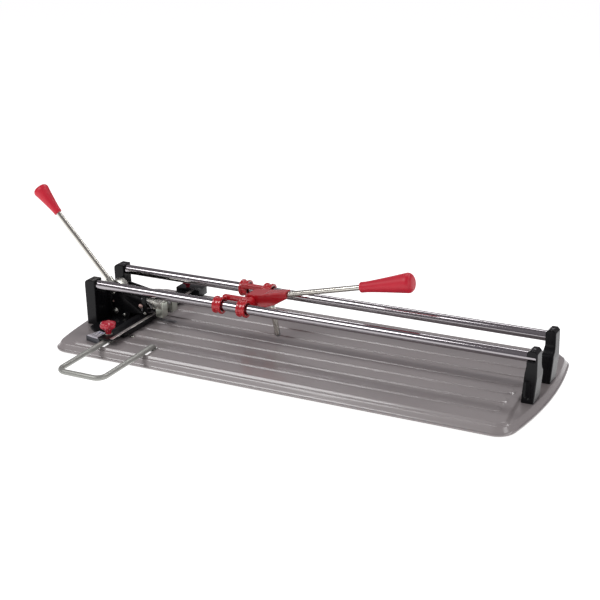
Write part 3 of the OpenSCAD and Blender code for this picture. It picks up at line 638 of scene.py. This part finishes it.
mark_real = mark_tree.nodes.new("GeometryNodeRealizeInstances")
mark_coat = mark_tree.nodes.new("GeometryNodeSetMaterial")
join(mark_tree,
     (mark_in, "Count", row_line, "Count"), (mark_in, "Start", row_line, "Start Location"),
     (mark_in, "Pitch", row_line, "Offset"), (mark_in, "Mark size", mark_block, "Size"),
     (row_line, "Mesh", mark_copies, "Points"), (mark_block, "Mesh", mark_copies, "Instance"),
     (mark_copies, "Instances", mark_real, "Geometry"), (mark_real, "Geometry", mark_coat, "Geometry"),
     (mark_in, "Ink", mark_coat, "Material"), (mark_coat, "Geometry", mark_out, "Geometry"))
MARK_WIDTH, MARK_HEIGHT, MARK_MARGIN, FIRST_MARK = 0.5, 0.1, 0.6, 4
ruler_low, ruler_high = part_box("fence_ruler")
for name, count, pitch, length in (("short_ruler_marks", 74, 5, 3.0), ("long_ruler_marks", 8, 50, 5.5)):
    marks = grown(name, mark_tree, {
        mark_inputs["Count"]: count,
        mark_inputs["Start"]: (ruler_high.x - (MARK_MARGIN + length / 2) * MM,
                               ruler_low.y + FIRST_MARK * MM, ruler_high.z),
        mark_inputs["Pitch"]: (0, pitch * MM, 0),
        mark_inputs["Mark size"]: (length * MM, MARK_WIDTH * MM, MARK_HEIGHT * MM),
        mark_inputs["Ink"]: mark_black})
    place_piece(name, marks, mark_black, "fence")

# Angle sector: a dark pedestal on the tray with a printed plate on top, in bright metal with dark and
# blue marks. It shows the swivel angle of the fence.
sector_grey = finish("sector_grey", (0.05, 0.052, 0.062), 0.4, patch=0.12, grain=0.1)
plate_bright = finish("plate_bright", (0.66, 0.65, 0.70), 0.35, metallic=0.2, patch=0.1, patch_scale=60)
mark_blue = finish("mark_blue", (0.06, 0.07, 0.25), 0.4, patch=0.1)
machined("angle_sector", sector_grey, 0.8, 3)
machined("angle_scale", plate_bright, 0.2)
scale_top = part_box("angle_scale")[1].z / MM
fence_axis = Vector((-403, 0, 0))
PRINT_SUNK, PRINT_PROUD = 0.05, 0.08


def arc_marks(name, angles, inner, outer, width, material):
    """Thin radial marks about the fence pivot, on the sector's plate."""
    shape = bmesh.new()
    for angle in angles:
        way = Vector((math.cos(math.radians(angle)), math.sin(math.radians(angle)), 0))
        over = Vector((-way.y, way.x, 0)) * width / 2
        base = [fence_axis + way * r + over * s
                for r, s in ((inner, -1), (outer, -1), (outer, 1), (inner, 1))]
        low = [shape.verts.new((p + Vector((0, 0, scale_top - PRINT_SUNK))) * MM) for p in base]
        top = [shape.verts.new((p + Vector((0, 0, scale_top + PRINT_PROUD))) * MM) for p in base]
        shape.faces.new(low[::-1])
        shape.faces.new(top)
        for k in range(4):
            n = (k + 1) % 4
            shape.faces.new((low[k], low[n], top[n], top[k]))
    bmesh.ops.recalc_face_normals(shape, faces=shape.faces)
    mesh = bpy.data.meshes.new(name)
    shape.to_mesh(mesh)
    shape.free()
    place_piece(name, mesh, material, "base")


arc_marks("fine_angle_marks", [252.2 + i for i in range(12)], 161, 172, 1.0, mark_black)
arc_marks("long_angle_marks", [253.2 + 3.3 * i for i in range(4)], 151, 159, 2.8, mark_black)
arc_marks("blue_angle_marks", [254.8 + 3.3 * i for i in range(3)], 144, 149, 4.4, mark_blue)

# Clamp knobs: glossy moulded heads with six soft lobes and a slim foot, on a threaded stud. One clamps
# the fence, and one of the same red clamps the side stop. The side stop knob's red is darkened as painted
# shade.
knob_red = finish("knob_red", (0.48, 0.008, 0.028), 0.25, patch=0.08, patch_scale=40, grain=0.04,
                  coat=0.4)
# The knob red at about half brightness. This is painted shade for the side stop knob, which sits in shadow
# behind the rail.
knob_red_painted_shade = finish("knob_red_painted_shade", (0.24, 0.01, 0.022), 0.25, patch=0.08, patch_scale=40, grain=0.04,
                   coat=0.3)


KNOB_TALL, KNOB_LOBES, LOBE_DEPTH, KNOB_POINTS = 28, 6, 1.6, 96


def lobed_knob(node, material, body, size):
    """A knob in the place of its CAD node. The outline is (height, radius, share of the lobes' depth)."""
    low, high = (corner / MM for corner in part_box(node))
    centre = (low + high) / 2
    stand = high.z - KNOB_TALL * size
    outline = [(0, 6, 0), (1, 6.2, 0), (3, 6.4, 0), (6, 7.4, 0), (9, 9.4, 0.2), (12.5, 12.6, 0.6),
               (14.6, 15.2, 1), (16.4, 16.6, 1), (18.6, 17.2, 1), (21.4, 17.2, 1),
               (24, 16.3, 1), (25.8, 14, 0.8), (27, 10, 0.5),
               (27.6, 5.5, 0.2), (27.8, 0, 0)]
    shape = bmesh.new()
    rings = []
    for z, radius, lobes in outline:
        ring = []
        for k in range(KNOB_POINTS):
            angle = 2 * math.pi * k / KNOB_POINTS
            reach = (radius + LOBE_DEPTH * lobes * math.cos(KNOB_LOBES * angle)) * size
            spot = Vector((centre.x + reach * math.cos(angle), centre.y + reach * math.sin(angle),
                           stand + z * size))
            ring.append(shape.verts.new(spot * MM))
            if radius == 0:
                break
        rings.append(ring)
    shape.faces.new(rings[0][::-1])
    for near, far in zip(rings, rings[1:]):
        for k in range(KNOB_POINTS):
            n = (k + 1) % KNOB_POINTS
            if len(far) == 1:
                shape.faces.new((near[k], near[n], far[0]))
            else:
                shape.faces.new((near[k], near[n], far[n], far[k]))
    bmesh.ops.recalc_face_normals(shape, faces=shape.faces)
    mesh = bpy.data.meshes.new(node + "_head")
    shape.to_mesh(mesh)
    shape.free()
    place_piece(node + "_head", mesh, material, body, [node])
    turned(node + "_stud", [(0, 0), (0, 2.3), (0.7, 3), (stand - low.z + 1, 3), (stand - low.z + 1, 0)],
           (centre.x, centre.y, low.z), (0, 0, 1), bare_steel, body, segments=24)


lobed_knob("fence_knob", knob_red, "fence_knob", 1)
# The stop knob gets the knob red darkened as painted shade.
lobed_knob("stop_knob", knob_red_painted_shade, "stop_knob", 0.72)
machined("side_stop", black_plate, 1.0, 3)

# Support arm: one rod bent to a U, with its inner ends turned down through the deck's slots. It is zinc
# plated, with spring clips under the sheet.
arm_zinc = finish("arm_zinc", (0.34, 0.345, 0.32), 0.42, metallic=0.5, patch=0.12, patch_scale=40,
                  grain=0.08)


BEND_STEPS = 8


def bent_rod(name, corners, bends, radius, material, body, stands_for):
    """A round rod through the corners, bent to a radius at each inner corner."""
    path = [Vector(corners[0])]
    for before, corner, after, bend in zip(corners, corners[1:], corners[2:], bends):
        before, corner, after = Vector(before), Vector(corner), Vector(after)
        back, on = (before - corner).normalized(), (after - corner).normalized()
        centre = corner + (back + on) * bend
        for k in range(BEND_STEPS + 1):
            t = math.pi / 2 * k / BEND_STEPS
            path.append(centre - on * bend * math.cos(t) - back * bend * math.sin(t))
    path.append(Vector(corners[-1]))
    line = bpy.data.curves.new(name, "CURVE")
    line.dimensions = "3D"
    spline = line.splines.new("POLY")
    spline.points.add(len(path) - 1)
    for spot, point in zip(spline.points, path):
        spot.co = (*(point * MM), 1)
    line.bevel_depth = radius * MM
    line.bevel_resolution = 8
    line.use_fill_caps = True
    holder = bpy.data.objects.new(name, line)
    bpy.context.scene.collection.objects.link(holder)
    mesh = settle(holder)
    shape = bmesh.new()
    shape.from_mesh(mesh)
    bmesh.ops.remove_doubles(shape, verts=shape.verts, dist=MERGE_DISTANCE)
    bmesh.ops.recalc_face_normals(shape, faces=shape.faces)
    shape.to_mesh(mesh)
    shape.free()
    place_piece(name, mesh, material, body, stands_for)


ARM_RADIUS = 6
arm_low, arm_high = (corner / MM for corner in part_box("support_arm"))
left, right = arm_low.x + ARM_RADIUS, arm_high.x - ARM_RADIUS
front, inner, level_z = (
    arm_low.y + ARM_RADIUS, arm_high.y - ARM_RADIUS, arm_high.z - ARM_RADIUS)
bent_rod("bent_support_arm",
         [(left, inner, arm_low.z), (left, inner, level_z), (left, front, level_z), (right, front, level_z),
          (right, inner, level_z), (right, inner, arm_low.z)],
         [8, 20, 20, 8], ARM_RADIUS, arm_zinc, "support_arm", ["support_arm"])
coat_node("arm_clips", bare_steel)

# Carriage: two red runners cast in zinc alloy, each with two flanged barrels on plastic bushes and a bar
# between them. The pivot pin of the scoring lever joins the runners.
red_casting = finish("red_casting", (0.50, 0.006, 0.014), 0.24, patch=0.07, patch_scale=50, grain=0.07,
                     grain_scale=700, coat=0.5)
bush_black = finish("bush_black", (0.02, 0.02, 0.02), 0.5, patch=0.1, grain=0.1)
cast("front_runner", red_casting, 0.9, 4)
cast("rear_runner", red_casting, 0.9, 4)
coat_node("runner_bushes", bush_black)
machined("barrel_screws", bare_steel, 0.3)
coat_node("pivot_pin", bright_zinc)

# Scoring lever: a red cast head that narrows to the rod's socket, the rod with its large red grip, and
# the scoring shaft clamped in the head. The wheel turns in the shaft's forked end.
cast("lever_head", red_casting, 0.9, 6)
score_slope = math.radians(13.4)
score_way = Vector((math.cos(score_slope), 0, math.sin(score_slope)))
score_socket = Vector((-37, 0, 139.2))
score_grip_start = 179.2
turned("scoring_lever_rod",
       [(-17.9, 0), (-17.9, ROD_RADIUS), (199.6, ROD_RADIUS), (200.2, 5.4), (200.2, 0)],
       score_socket, score_way, nickel_rod, "scoring_lever", ["lever_rod"], segments=40)
turned("scoring_lever_grip", grip_outline(length=122, neck=23, belly=43),
       score_socket + score_way * score_grip_start, score_way, red_grip, "scoring_lever",
       ["lever_grip"], segments=72)
machined("scoring_shaft", nickel_rod, 0.4)
machined("shaft_screw", bright_zinc, 0.4)
machined("scoring_wheel", bare_steel, 0.15)
coat_node("wheel_axle", bare_steel)
